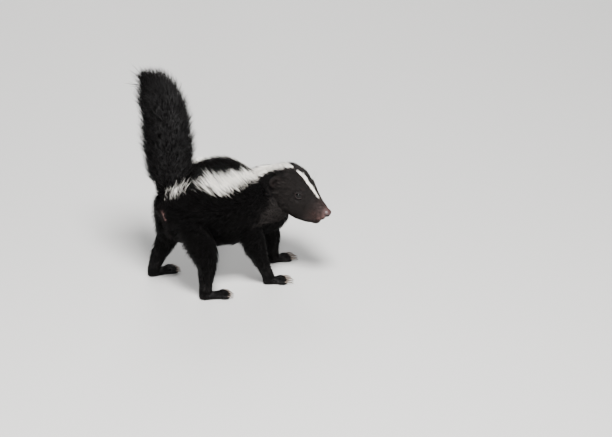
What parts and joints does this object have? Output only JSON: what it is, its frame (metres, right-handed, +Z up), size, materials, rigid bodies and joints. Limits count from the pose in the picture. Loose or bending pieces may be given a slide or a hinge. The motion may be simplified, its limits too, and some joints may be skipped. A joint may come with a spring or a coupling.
{
  "type": "striped skunk",
  "caption": "Still, life-size young striped skunk walking with its bushy tail raised and its head turned to the right and lowered, standing on its own feet.",
  "frame": {"origin": "middle of the bounding box's footprint, on the floor that the four feet stand on", "axes": "+X from rump to chest, the way the body walks; +Y to the animal's left; +Z up"},
  "size_m": [0.172, 0.0858, 0.2262],
  "materials": {
    "coat": "matt to satin black fur",
    "ear_skin": "thinly furred dark skin",
    "nose_skin": "damp brownish pink skin",
    "eye": "wet, glossy, almost black"
  },
  "bodies": {
    "root": {"head": "coat", "neck": "coat", "torso": "coat", "tail": "coat", "leg_front_right": "coat", "leg_front_left": "coat", "leg_hind_right": "coat", "leg_hind_left": "coat", "ear_right": "ear_skin", "ear_left": "ear_skin", "nose": "nose_skin", "eye_right": "eye", "eye_left": "eye"}
  },
  "joints": []
}
